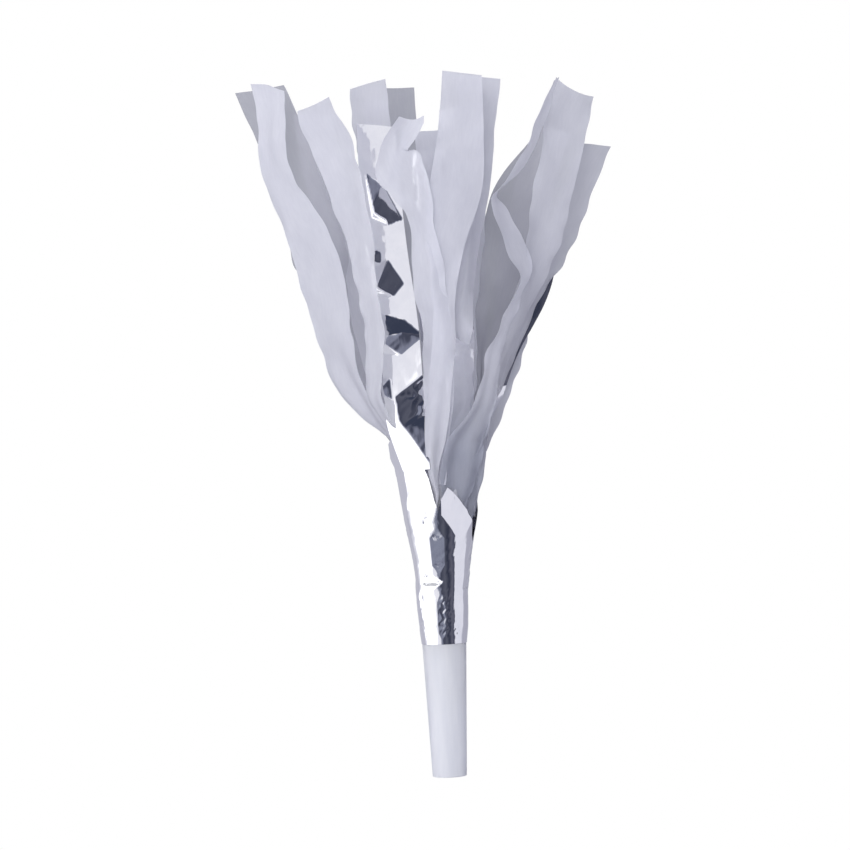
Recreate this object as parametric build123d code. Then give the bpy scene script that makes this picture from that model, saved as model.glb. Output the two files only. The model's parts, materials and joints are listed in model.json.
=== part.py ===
"""Fringed party horn: a frosted plastic mouthpiece with a squawker reed inside, a sleeve of rolled
mirror foil and tissue, and a crown of strips that the sleeve is slit into.

Millimetres. The origin is the centre of the mouth end, and +Z runs along the horn to the fringe.
Azimuth 0 is the front (-Y) and +90 is the right (+X).
"""

import math
import os

from build123d import *

# Mouthpiece: a tapered tube, blown into at z = 0
MOUTHPIECE_LENGTH = 60.0
MOUTH_OUTER_R = 5.53
OUTER_TAPER = 0.0374
MOUTH_BORE_R = 4.55
MOUTH_BORE_LENGTH = 10.0
BORE_TAPER = 0.044
LIP_ROUND = 0.35

# Reed: a half-round trough and its plug, a clamped film blade and the wedge over it
REED_BOTTOM = 24.0
REED_FLOOR = 1.2
PLUG_BOTTOM = 44.0
PLUG_TOP = 56.0
TROUGH_OUTER_R = 3.4
TROUGH_CHANNEL_R = 2.4
FILM_THICKNESS = 0.15
FILM_WIDTH = 5.8
FILM_GAP = 0.03
TAB_TOP = 54.0
BLADE_BOTTOM = 24.6
BLADE_TOP = 43.7
BLADE_HINGE_Y = 0.12
BLADE_HINGE_Z = 43.9
BLADE_OPEN_DEGREES = 3.5
FIT_GAP = 0.03
HALF_BLOCK = 15.0
PLUG_OVERLAP = 1.0

# Sleeve: three rolled layers over the mouthpiece, flaring towards the crown
SLEEVE_PROFILE = [
    (43.3, 7.66),
    (48.0, 7.95),
    (58.0, 8.25),
    (70.0, 9.5),
    (83.0, 12.05),
    (96.0, 14.2),
    (104.0, 15.5),
]
FOIL_THICKNESS = 0.15
TISSUE_THICKNESS = 0.12
LAYER_GAP = 0.04
TAPE_THICKNESS = 0.06
TAPE_BOTTOM = 48.0
TAPE_TOP = 56.0

# Crown: strips that leave the sleeve at the neck, each a thin bent band; the reaches are the
# shares of its length over which a strip holds its root and tip leans
NECK_Z = 104.0
ROOT_GAP = 0.3
STRIP_THICKNESS = 0.3
SECTIONS = 8
SPREAD_RATE = 2.2
ROOT_REACH = 0.30
TIP_REACH = 0.35
OUTER_ROOT_R = 15.1
FOIL_ROOT_R = 12.9
INNER_ROOT_R = 10.9
OUTER_ROOT_WIDTH = 6.8
FOIL_ROOT_WIDTH = 10.6
INNER_ROOT_WIDTH = 9.0

# Each strip: azimuth of its root, the middle of its tip (x, y, z), the azimuth that its tip
# faces, its lean from the axis at the root and at the tip, and its widest width
OUTER_STRIPS = [
    (12, (13.6, -27.0, 228.0), 12, 8, 6, 12.0),
    (42, (39.5, -23.0, 223.0), 64, 30, 32, 11.0),
    (71, (50.0, -8.5, 223.0), 16, 30, 19, 13.5),
    (101, (56.0, 7.0, 203.5), 44, 31, 31, 13.0),
    (131, (42.5, 31.5, 214.0), 152, 38, 20, 13.5),
    (160, (13.5, 45.0, 224.0), 167, 42, 14, 14.0),
    (188, (-9.5, 45.0, 224.5), 190, 42, 14, 14.0),
    (217, (-36.0, 34.0, 217.0), 208, 44, 16, 14.0),
    (247, (-52.5, 7.0, 225.5), 204, 42, 24, 14.0),
    (277, (-49.8, -15.0, 225.0), 326, 50, 16, 14.0),
    (308, (-35.4, -31.0, 220.0), 338, 30, 26, 14.0),
    (339, (-4.0, -29.5, 210.0), 336, 12, 10, 9.5),
]
FOIL_STRIPS = [
    (338, (-15.0, -16.5, 211.0), 342, 6, 4, 12.0),
    (38, (12.5, -18.5, 206.0), 26, 8, 4, 11.0),
    (113, (40.5, 15.5, 173.0), 110, 29, 30, 9.5),
    (164, (2.0, 27.0, 218.0), 174, 10, 8, 13.0),
    (222, (-17.0, 24.0, 217.0), 216, 10, 8, 13.0),
    (280, (-36.0, -4.0, 205.0), 276, 24, 12, 12.0),
]
INNER_STRIPS = [
    (18, (18.8, -9.0, 226.8), 14, 4, 4, 11.5),
    (88, (31.0, 1.5, 207.0), 14, 8, 12, 11.5),
    (164, (6.0, 17.0, 214.0), 164, 4, 2, 12.0),
    (250, (-16.0, 10.0, 222.0), 236, 4, 2, 12.0),
    (316, (-16.0, -6.5, 226.5), 300, 4, 2, 12.0),
]


def mouth_outer_radius(z):
    return MOUTH_OUTER_R + OUTER_TAPER * z


def bore_radius(z):
    return MOUTH_BORE_R + BORE_TAPER * max(0.0, z - MOUTH_BORE_LENGTH)


def turned(profile):
    """A solid of revolution about Z from (radius, height) points."""
    points = [(r, 0, z) for r, z in profile]
    return revolve(make_face(Polyline(*points, close=True)), Axis.Z, 360)


def mouthpiece():
    profile = [
        (MOUTH_BORE_R, 0),
        (mouth_outer_radius(0) - LIP_ROUND, 0),
        (mouth_outer_radius(LIP_ROUND), LIP_ROUND),
        (mouth_outer_radius(MOUTHPIECE_LENGTH), MOUTHPIECE_LENGTH),
        (bore_radius(MOUTHPIECE_LENGTH), MOUTHPIECE_LENGTH),
        (MOUTH_BORE_R, MOUTH_BORE_LENGTH),
    ]
    return turned(profile)


def bore_filling(bottom, top):
    """The tapered space of the bore between two heights, less a fitting gap."""
    profile = [
        (0, bottom),
        (bore_radius(bottom) - FIT_GAP, bottom),
        (bore_radius(top) - FIT_GAP, top),
        (0, top),
    ]
    return turned(profile)


def half_space(y_min, y_max):
    """A block over one side of the reed's parting plane."""
    return Pos(0, (y_min + y_max) / 2, MOUTHPIECE_LENGTH / 2) * Box(
        2 * HALF_BLOCK, y_max - y_min, 2 * MOUTHPIECE_LENGTH
    )


def rod(radius, bottom, top):
    return Pos(0, 0, (bottom + top) / 2) * Cylinder(radius, top - bottom)


def reed_plug():
    lower = half_space(-HALF_BLOCK, 0)
    trough = rod(TROUGH_OUTER_R, REED_BOTTOM, PLUG_BOTTOM + PLUG_OVERLAP)
    body = bore_filling(PLUG_BOTTOM, PLUG_TOP) + trough
    channel = rod(TROUGH_CHANNEL_R, REED_BOTTOM + REED_FLOOR, PLUG_TOP + PLUG_OVERLAP)
    return (body & lower) - channel


def reed_wedge():
    upper = half_space(FILM_THICKNESS + 2 * FILM_GAP, HALF_BLOCK)
    return bore_filling(PLUG_BOTTOM, PLUG_TOP) & upper


def film(bottom, top):
    """A flat piece of reed film lying on the parting plane."""
    y = FILM_GAP + FILM_THICKNESS / 2
    return Pos(0, y, (bottom + top) / 2) * Box(FILM_WIDTH, FILM_THICKNESS, top - bottom)


def reed_blade():
    """The free end of the film, standing open above the trough."""
    hinge = Axis((0, BLADE_HINGE_Y, BLADE_HINGE_Z), (1, 0, 0))
    return film(BLADE_BOTTOM, BLADE_TOP).rotate(hinge, BLADE_OPEN_DEGREES)


def sleeve_layer(outer_inset, thickness):
    """One rolled layer: the sleeve's profile moved inwards, with a wall."""
    outside = [(r - outer_inset, z) for z, r in SLEEVE_PROFILE]
    inside = [(r - thickness, z) for r, z in reversed(outside)]
    return turned(outside + inside)


def tape_band():
    clear = FIT_GAP
    profile = [
        (mouth_outer_radius(TAPE_BOTTOM) + clear, TAPE_BOTTOM),
        (mouth_outer_radius(TAPE_BOTTOM) + clear + TAPE_THICKNESS, TAPE_BOTTOM),
        (mouth_outer_radius(TAPE_TOP) + clear + TAPE_THICKNESS, TAPE_TOP),
        (mouth_outer_radius(TAPE_TOP) + clear, TAPE_TOP),
    ]
    return turned(profile)


def outward(azimuth):
    a = math.radians(azimuth)
    return Vector(math.sin(a), -math.cos(a), 0)


def across(azimuth):
    a = math.radians(azimuth)
    return Vector(math.cos(a), math.sin(a), 0)


def leaning(direction, lean):
    """A unit vector that leans from the axis towards a level direction."""
    a = math.radians(lean)
    return direction * math.sin(a) + Vector(0, 0, math.cos(a))


def turn_between(start, end):
    """The signed angle from one azimuth to another, the short way."""
    return (end - start + 180) % 360 - 180


def bezier(points, u):
    v = 1 - u
    weights = (v**3, 3 * u * v**2, 3 * u**2 * v, u**3)
    total = Vector(0, 0, 0)
    for weight, point in zip(weights, points):
        total = total + point * weight
    return total


def strip(root_r, root_width, azimuth, tip, face, root_lean, tip_lean, width):
    """A band lofted through level sections along a bent centre line."""
    start = outward(azimuth) * root_r + Vector(0, 0, NECK_Z + ROOT_GAP)
    end = Vector(*tip)
    length = (end - start).length
    tip_direction = Vector(tip[0], tip[1], 0).normalized()
    controls = (
        start,
        start + leaning(outward(azimuth), root_lean) * (ROOT_REACH * length),
        end - leaning(tip_direction, tip_lean) * (TIP_REACH * length),
        end,
    )
    twist = turn_between(azimuth, face)
    sections = []
    for i in range(SECTIONS):
        u = i / (SECTIONS - 1)
        centre = bezier(controls, u)
        spread = math.sin(math.pi / 2 * min(1.0, SPREAD_RATE * u))
        turned_to = azimuth + twist * (3 * u**2 - 2 * u**3)
        level = Plane(origin=centre, x_dir=across(turned_to), z_dir=(0, 0, 1))
        span = root_width + (width - root_width) * spread
        sections.append(level * Rectangle(span, STRIP_THICKNESS))
    return loft(sections)


def build():
    nodes = {
        "mouthpiece": mouthpiece(),
        "reed_plug": reed_plug(),
        "reed_wedge": reed_wedge(),
        "reed_tab": film(PLUG_BOTTOM, TAB_TOP),
        "reed_blade": reed_blade(),
        "tape_band": tape_band(),
        "foil_sleeve": sleeve_layer(0, FOIL_THICKNESS),
    }
    outer_inset = FOIL_THICKNESS + LAYER_GAP
    inner_inset = outer_inset + TISSUE_THICKNESS + LAYER_GAP
    nodes["tissue_sleeve_outer"] = sleeve_layer(outer_inset, TISSUE_THICKNESS)
    nodes["tissue_sleeve_inner"] = sleeve_layer(inner_inset, TISSUE_THICKNESS)
    rings = [
        ("outer_tissue_strip", OUTER_STRIPS, OUTER_ROOT_R, OUTER_ROOT_WIDTH),
        ("foil_strip", FOIL_STRIPS, FOIL_ROOT_R, FOIL_ROOT_WIDTH),
        ("inner_tissue_strip", INNER_STRIPS, INNER_ROOT_R, INNER_ROOT_WIDTH),
    ]
    for name, table, root_r, root_width in rings:
        for number, row in enumerate(table, start=1):
            nodes[f"{name}_{number:02d}"] = strip(root_r, root_width, *row)
    return nodes


def main():
    os.makedirs("parts", exist_ok=True)
    for name, shape in build().items():
        export_step(shape, os.path.join("parts", f"{name}.step"))


main()
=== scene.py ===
"""Looks of the fringed party horn: tissue and foil sheets, crumpled sleeve, frosted mouthpiece.

Tables are in millimetres and degrees. Azimuth 0 is the front (-Y) and +90 the right (+X).
"""
import json
import math
import random

import bpy
import numpy as np
from mathutils import Matrix, Vector


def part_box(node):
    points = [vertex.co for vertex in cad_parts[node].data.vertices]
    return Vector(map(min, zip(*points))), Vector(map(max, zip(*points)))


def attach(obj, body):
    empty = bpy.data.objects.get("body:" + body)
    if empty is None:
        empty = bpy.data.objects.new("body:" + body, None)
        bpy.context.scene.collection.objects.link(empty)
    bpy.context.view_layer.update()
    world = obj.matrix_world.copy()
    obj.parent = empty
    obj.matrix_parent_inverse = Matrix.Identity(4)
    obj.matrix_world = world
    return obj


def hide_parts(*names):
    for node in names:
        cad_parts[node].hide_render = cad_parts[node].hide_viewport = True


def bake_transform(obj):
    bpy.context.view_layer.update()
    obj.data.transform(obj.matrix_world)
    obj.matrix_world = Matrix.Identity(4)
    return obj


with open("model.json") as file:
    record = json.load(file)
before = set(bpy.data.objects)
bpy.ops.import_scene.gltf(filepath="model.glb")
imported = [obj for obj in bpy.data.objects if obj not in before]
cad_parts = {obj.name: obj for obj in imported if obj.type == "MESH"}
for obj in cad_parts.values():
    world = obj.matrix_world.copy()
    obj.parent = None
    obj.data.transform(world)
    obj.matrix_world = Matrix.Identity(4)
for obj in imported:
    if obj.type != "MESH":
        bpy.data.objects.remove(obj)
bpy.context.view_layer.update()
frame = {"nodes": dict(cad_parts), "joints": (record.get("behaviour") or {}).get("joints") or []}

MM = 0.001
NODES = frame["nodes"]
SLEEVE_LOW, SLEEVE_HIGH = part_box("foil_sleeve")
NECK = SLEEVE_HIGH.z / MM
SLEEVE_FOOT = SLEEVE_LOW.z / MM
JOINT_AXES = {j["child"]: Vector(j["axis"]) for j in frame["joints"]}


# ---------------------------------------------------------------- numbers

def outward(azimuth):
    """Unit vectors that face an azimuth in degrees, for one value or an array."""
    a = np.radians(azimuth)
    return np.stack([np.sin(a), -np.cos(a), np.zeros_like(a)], -1)


def smoothstep(x, low, high):
    t = np.clip((x - low) / (high - low), 0, 1)
    return t * t * (3 - 2 * t)


def through(kx, ky, x):
    """A smooth curve through the values ky at the keys kx, flat beyond its ends."""
    slope = np.gradient(ky, kx)
    x = np.clip(x, kx[0], kx[-1])
    i = np.clip(np.searchsorted(kx, x) - 1, 0, len(kx) - 2)
    gap = kx[i + 1] - kx[i]
    t = (x - kx[i]) / gap
    t2, t3 = t * t, t * t * t
    start, end = slope[i] * gap, slope[i + 1] * gap
    return (
        (2 * t3 - 3 * t2 + 1) * ky[i] + (t3 - 2 * t2 + t) * start
        + (3 * t2 - 2 * t3) * ky[i + 1] + (t3 - t2) * end
    )


def waves(rng, a, b, size_a, size_b, count=5):
    """Smooth noise between about -1 and 1 over two coordinates, with features of those sizes."""
    total = np.zeros(np.broadcast(a, b).shape)
    for _ in range(count):
        fa = rng.uniform(-1, 1) / size_a
        fb = rng.uniform(0.4, 1) / size_b
        total = total + np.sin(2 * math.pi * (fa * a + fb * b) + rng.uniform(0, 7))
    return total / math.sqrt(count)


def turn_from(azimuth, faces):
    """Degrees from the azimuth that something faces, the short way round."""
    return (azimuth - faces + 180) % 360 - 180


def facets(rng, a, b, cell):
    """Random heights joined by flat triangles: the creases of crumpled foil, from -1 to 1."""
    ga, gb = np.asarray(a) / cell, np.asarray(b) / cell
    ga = ga + 0.25 * np.sin(gb * 1.7 + 1.0)
    low_a, low_b = int(ga.min()) - 2, int(gb.min()) - 2
    size = (int(ga.max()) + 4 - low_a, int(gb.max()) + 4 - low_b)
    heights = np.array([[rng.uniform(-1, 1) for _ in range(size[1])] for _ in range(size[0])])
    ga, gb = ga - low_a, gb - low_b
    i, j = ga.astype(int), gb.astype(int)
    x, y = ga - i, gb - j
    h00, h10 = heights[i, j], heights[i + 1, j]
    h01, h11 = heights[i, j + 1], heights[i + 1, j + 1]
    lower = h00 + x * (h10 - h00) + y * (h11 - h10)
    upper = h00 + y * (h01 - h00) + x * (h11 - h01)
    return np.where(x > y, lower, upper)


# ---------------------------------------------------------------- CAD lines

def sleeve_profile():
    """Heights and radii of the foil sleeve's outside, from the CAD mesh."""
    points = np.array([v.co for v in NODES["foil_sleeve"].data.vertices]) / MM
    heights = np.round(points[:, 2], 1)
    radii = np.hypot(points[:, 0], points[:, 1])
    levels = sorted(set(heights))
    return np.array(levels), np.array([radii[heights == z].max() for z in levels])


SLEEVE_Z, SLEEVE_R = sleeve_profile()


def sleeve_radius(z):
    return np.interp(z, SLEEVE_Z, SLEEVE_R)


def cad_line(node, count=26):
    """Height, centre and facing azimuth of a CAD strip at level sections of its mesh."""
    mesh = NODES[node].data
    points = np.array([v.co for v in mesh.vertices]) / MM
    edges = np.array([e.vertices[:] for e in mesh.edges])
    low, high = points[:, 2].min(), points[:, 2].max()
    direction = np.array(JOINT_AXES[node])[:2]
    rows = []
    for z in np.linspace(low + 0.2, high - 0.05, count):
        p, q = points[edges[:, 0]], points[edges[:, 1]]
        crossing = (p[:, 2] - z) * (q[:, 2] - z) < 0
        p, q = p[crossing], q[crossing]
        t = ((z - p[:, 2]) / (q[:, 2] - p[:, 2]))[:, None]
        outline = (p + t * (q - p))[:, :2]
        centred = outline - (outline.max(0) + outline.min(0)) / 2
        axis = np.linalg.svd(centred)[2][0]
        axis = axis if axis @ direction > 0 else -axis
        direction = axis
        along = outline @ axis
        middle = outline[along.argmax()] + outline[along.argmin()]
        rows.append((z, middle[0] / 2, middle[1] / 2, math.atan2(axis[1], axis[0])))
    table = np.array(rows)
    table[:, 3] = np.degrees(np.unwrap(table[:, 3]))
    return table


# A root is tucked this far inwards, except near the neck, and has a point at each step of height
ROOT_TUCK = 1.3
ROOT_TUCK_REACH = 8
ROOT_STEP = 2.0


def strip_line(node, bottom):
    """The strip's line carried down inside the sleeve to a bottom height."""
    line = cad_line(node)
    root = line[0]
    azimuth = math.degrees(math.atan2(root[1], -root[2]))
    share = math.hypot(root[1], root[2]) / sleeve_radius(NECK)
    zs = np.arange(bottom, NECK - 1, ROOT_STEP)
    tuck = ROOT_TUCK * (1 - smoothstep(zs, NECK - ROOT_TUCK_REACH, NECK))
    place = outward(np.full(len(zs), azimuth)) * (sleeve_radius(zs) * share - tuck)[:, None]
    facing = np.full(len(zs), root[3])
    below = np.column_stack([zs, place[:, 0], place[:, 1], facing])
    return np.vstack([below, line])


# ---------------------------------------------------------------- materials

def new_material(name):
    material = bpy.data.materials.new(name)
    material.use_nodes = True
    nodes, links = material.node_tree.nodes, material.node_tree.links
    return material, nodes, links, nodes["Principled BSDF"], nodes["Material Output"]


def uv_mm(nodes, links, scale):
    """The piece's own UVs, which are in metres, scaled to millimetres times a stretch."""
    uv = nodes.new("ShaderNodeTexCoord")
    mapping = nodes.new("ShaderNodeMapping")
    mapping.inputs["Scale"].default_value = [s / MM for s in scale]
    links.new(uv.outputs["UV"], mapping.inputs["Vector"])
    return mapping.outputs["Vector"]


def noise(nodes, links, vector, scale, detail=3.0, roughness=0.6):
    texture = nodes.new("ShaderNodeTexNoise")
    texture.inputs["Scale"].default_value = scale
    texture.inputs["Detail"].default_value = detail
    texture.inputs["Roughness"].default_value = roughness
    links.new(vector, texture.inputs["Vector"])
    return texture.outputs["Fac"]


def ramp(nodes, links, value, stops):
    node = nodes.new("ShaderNodeValToRGB")
    elements = node.color_ramp.elements
    while len(elements) < len(stops):
        elements.new(0.5)
    for element, (place, colour) in zip(elements, stops):
        element.position = place
        element.color = (*colour, 1)
    links.new(value, node.inputs["Fac"])
    return node.outputs["Color"]


def bump(nodes, links, height, strength, distance):
    node = nodes.new("ShaderNodeBump")
    node.inputs["Strength"].default_value = strength
    node.inputs["Distance"].default_value = distance * MM
    links.new(height, node.inputs["Height"])
    return node.outputs["Normal"]


def map_range(nodes, links, value, low, high):
    """The value as a share of the way from low to high."""
    node = nodes.new("ShaderNodeMapRange")
    node.inputs["From Min"].default_value = low
    node.inputs["From Max"].default_value = high
    links.new(value, node.inputs["Value"])
    return node.outputs["Result"]


def mixed(nodes, links, share, first, second):
    """Two shaders mixed. The share, a number or a socket, is the second one's."""
    node = nodes.new("ShaderNodeMixShader")
    if isinstance(share, float):
        node.inputs["Fac"].default_value = share
    else:
        links.new(share, node.inputs["Fac"])
    links.new(first, node.inputs[1])
    links.new(second, node.inputs[2])
    return node.outputs["Shader"]


def link_base(links, base, colour, rough, normal):
    links.new(colour, base.inputs["Base Color"])
    links.new(rough, base.inputs["Roughness"])
    links.new(normal, base.inputs["Normal"])


# Distances up a sheet between which the shade painted on its root fades out
ROOT_SHADE_LOW, ROOT_SHADE_HIGH = 22 * MM, 52 * MM


def shaded_root(nodes, links, colour, share):
    """Painted shade: the colour, darkened to a share of itself along the foot of a sheet."""
    place = nodes.new("ShaderNodeSeparateXYZ")
    links.new(nodes.new("ShaderNodeTexCoord").outputs["UV"], place.inputs["Vector"])
    along = map_range(nodes, links, place.outputs["Y"], ROOT_SHADE_LOW, ROOT_SHADE_HIGH)
    shade = (share, share * 1.03, share * 1.1)
    dark = ramp(nodes, links, along, [(0, shade), (1, (1, 1, 1))])
    mix = nodes.new("ShaderNodeMix")
    mix.data_type = "RGBA"
    mix.blend_type = "MULTIPLY"
    mix.inputs["Factor"].default_value = 1.0
    links.new(colour, mix.inputs["A"])
    links.new(dark, mix.inputs["B"])
    return mix.outputs["Result"]


TISSUE_LIGHT = (0.80, 0.805, 0.87)
TISSUE_DARK = (0.72, 0.725, 0.80)
# Shares of the light that go through the paper and through the plastic
TISSUE_GLOW = 0.36
FROST_GLOW = 0.5


def tissue_material(name, seed, tint=1.0, sheer=0.16, root=1.0):
    """Thin tissue paper: matt, lets light through, with long soft fibres; a root below 1 paints shade on
    its foot.
    """
    material, nodes, links, base, output = new_material(name)
    fibres = uv_mm(nodes, links, (1.0, 0.16, 1.0))
    cloud = uv_mm(nodes, links, (0.08, 0.05, 1.0))
    cloud_value = noise(nodes, links, cloud, 1.0 + 0.07 * seed, 2.0)
    fibre_value = noise(nodes, links, fibres, 1.4, 5.0, 0.7)
    light = tuple(c * tint for c in TISSUE_LIGHT)
    dark = tuple(c * tint for c in TISSUE_DARK)
    blend = nodes.new("ShaderNodeMix")
    blend.inputs["Factor"].default_value = 0.45
    links.new(cloud_value, blend.inputs["A"])
    links.new(fibre_value, blend.inputs["B"])
    colour = ramp(nodes, links, blend.outputs["Result"], [(0.35, dark), (0.65, light)])
    # painted shade along the sheet's foot
    if root < 1:
        colour = shaded_root(nodes, links, colour, root)
    normal = bump(nodes, links, fibre_value, 0.5, 0.09)
    links.new(colour, base.inputs["Base Color"])
    links.new(normal, base.inputs["Normal"])
    base.inputs["Roughness"].default_value = 0.75
    base.inputs["Specular IOR Level"].default_value = 0.25
    through_light = nodes.new("ShaderNodeBsdfTranslucent")
    links.new(colour, through_light.inputs["Color"])
    links.new(normal, through_light.inputs["Normal"])
    clear = nodes.new("ShaderNodeBsdfTransparent")
    body = mixed(nodes, links, TISSUE_GLOW, base.outputs["BSDF"], through_light.outputs["BSDF"])
    see_through = mixed(nodes, links, sheer, body, clear.outputs["BSDF"])
    links.new(see_through, output.inputs["Surface"])
    return material


def foil_material():
    """Polished metal film with fine rolling streaks and faint dulling."""
    material, nodes, links, base, _ = new_material("mirror_foil")
    streaks = uv_mm(nodes, links, (0.9, 0.05, 1.0))
    cloud = uv_mm(nodes, links, (0.12, 0.12, 1.0))
    streak_value = noise(nodes, links, streaks, 1.5, 3.0)
    cloud_value = noise(nodes, links, cloud, 1.3, 4.0)
    colour = ramp(
        nodes, links, cloud_value, [(0.3, (0.88, 0.885, 0.92)), (0.7, (0.95, 0.95, 0.97))]
    )
    rough = ramp(nodes, links, cloud_value, [(0.35, (0.05,) * 3), (0.75, (0.12,) * 3)])
    normal = bump(nodes, links, streak_value, 0.12, 0.05)
    link_base(links, base, colour, rough, normal)
    base.inputs["Metallic"].default_value = 1.0
    return material


def frosted_material():
    """Milky moulded plastic with a satin skin and faint flow marks."""
    material, nodes, links, base, output = new_material("frosted_plastic")
    flow = uv_mm(nodes, links, (0.35, 0.03, 1.0))
    grain = uv_mm(nodes, links, (2.2, 2.2, 1.0))
    flow_value = noise(nodes, links, flow, 1.2, 3.0)
    grain_value = noise(nodes, links, grain, 2.0, 4.0)
    colour = ramp(
        nodes, links, flow_value, [(0.3, (0.86, 0.87, 0.91)), (0.7, (0.94, 0.945, 0.97))]
    )
    rough = ramp(nodes, links, grain_value, [(0.3, (0.30,) * 3), (0.7, (0.42,) * 3)])
    normal = bump(nodes, links, grain_value, 0.12, 0.02)
    link_base(links, base, colour, rough, normal)
    through_light = nodes.new("ShaderNodeBsdfTranslucent")
    links.new(colour, through_light.inputs["Color"])
    body = mixed(nodes, links, FROST_GLOW, base.outputs["BSDF"], through_light.outputs["BSDF"])
    links.new(body, output.inputs["Surface"])
    return material


def plain_piece_material(name, dark, light, roughness, grain):
    """A small moulded or cut piece without UVs: mottled colour and grain in object space."""
    material, nodes, links, base, _ = new_material(name)
    place = nodes.new("ShaderNodeTexCoord").outputs["Object"]
    value = noise(nodes, links, place, grain, 4.0)
    colour = ramp(nodes, links, value, [(0.3, dark), (0.7, light)])
    low, high = roughness
    rough = ramp(nodes, links, value, [(0.3, (low,) * 3), (0.7, (high,) * 3)])
    normal = bump(nodes, links, value, 0.2, 0.03)
    link_base(links, base, colour, rough, normal)
    return material


TISSUES = [tissue_material(f"tissue_{i}", i, tint=0.97 - 0.02 * i) for i in range(3)]
# Paper variants: the tints below 1 are painted shade on strips that lie in shadow, the higher sheer is
# paper that lets more through, and a root below 1 paints shade on the foot.
TISSUE_LAYERS = {
    "thin": tissue_material("tissue_thin", 3, tint=0.90, sheer=0.26),
    "thin_rooted": tissue_material("tissue_thin_rooted", 3, tint=0.92, sheer=0.22, root=0.72),
    "painted_root_shade": tissue_material("tissue_rooted", 2, tint=1.0, sheer=0.16, root=0.60),
    "sheer": tissue_material("tissue_sheer", 4, tint=0.70, sheer=0.4),
    "painted_deep_shade": tissue_material("tissue_dim", 5, tint=0.56, sheer=0.3),
}
FOIL = foil_material()


# ---------------------------------------------------------------- meshes

def grid_piece(name, points, uvs, material, closed=False):
    """A mesh from a grid of points (rows, columns, 3) in millimetres, with UVs in metres."""
    rows, columns = points.shape[:2]
    mesh = bpy.data.meshes.new(name)
    faces = []
    for i in range(rows - 1):
        for j in range(columns if closed else columns - 1):
            k = (j + 1) % columns
            faces.append(
                (i * columns + j, i * columns + k, (i + 1) * columns + k, (i + 1) * columns + j)
            )
    mesh.from_pydata((points.reshape(-1, 3) * MM).tolist(), [], faces)
    layer = mesh.uv_layers.new(name="UVMap")
    flat = uvs.reshape(-1, 2)
    for polygon in mesh.polygons:
        for loop in polygon.loop_indices:
            layer.data[loop].uv = flat[mesh.loops[loop].vertex_index]
    mesh.polygons.foreach_set("use_smooth", [True] * len(mesh.polygons))
    piece = bpy.data.objects.new(name, mesh)
    bpy.context.scene.collection.objects.link(piece)
    piece.data.materials.append(material)
    return piece


def unit(v):
    return v / np.maximum(np.linalg.norm(v, axis=-1, keepdims=True), 1e-9)


def key_columns(keys, zs):
    """The table's values by height: right, front, width, turn, left bend and right bend."""
    table = np.array(keys, float)
    return [through(table[:, 0], table[:, i], zs) for i in range(1, table.shape[1])]


# What a strip has where its table doesn't say: rows and columns, pleats near the neck (count,
# degrees and reach in height) and degrees of flutter
PLAIN_GRID = (110, 25)
PLAIN_PLEATS = (1.6, 26, 34)
PLAIN_FLUTTER = 9
# A crease's half width, as a share of the strip's half width, and the height over which it fades
CREASE_HALF = 0.09
CREASE_FADE = 6
# Heights over which the strip's CAD line is averaged
SMOOTHING = (-4, -2, 0, 2, 4)
# How far below and above the neck lie the two points that bend_ends gives
BEND_BELOW, BEND_ABOVE = 3, 7


def centre_path(line, keys):
    """The sheet's middle as a function of height: the smoothed CAD line, moved by the keys."""
    top_slope = (line[-1, 1:3] - line[-4, 1:3]) / (line[-1, 0] - line[-4, 0])

    def centre(height):
        over = np.clip(height, line[0, 0], line[-1, 0])
        extra = np.maximum(height - line[-1, 0], 0)
        place = [np.interp(over, line[:, 0], line[:, i + 1]) + extra * top_slope[i] for i in (0, 1)]
        return np.stack(place, -1)

    def path(height):
        smoothed = sum(centre(height + d) for d in SMOOTHING) / len(SMOOTHING)
        right, front = key_columns(keys, height)[:2]
        return np.stack([smoothed[..., 0] + right, smoothed[..., 1] - front, height], -1)

    return path


def bend_angles(rng, spec, s, z, bend_left, bend_right):
    """How far the sheet is bent out of its flat, in degrees, at each place across and up it."""
    count, pleat_degrees, reach = spec.get("pleats", PLAIN_PLEATS)
    pleat = pleat_degrees * np.exp(-(((z - NECK) / reach) ** 2))
    angle = bend_right * np.clip(s, 0, 1) ** 1.3 - bend_left * np.clip(-s, 0, 1) ** 1.3
    angle = angle + pleat * np.sin(math.pi * count * s + rng.uniform(0, 6))
    angle = angle + spec.get("flutter", PLAIN_FLUTTER) * waves(rng, s, z, 1.3, 45)
    for at, degrees, low, high in spec.get("creases", ()):
        rise = smoothstep(z, low - CREASE_FADE, low + CREASE_FADE)
        fade = rise * (1 - smoothstep(z, high - CREASE_FADE, high + CREASE_FADE))
        angle = angle + degrees * fade * smoothstep(s, at - CREASE_HALF, at + CREASE_HALF)
    return angle


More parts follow.
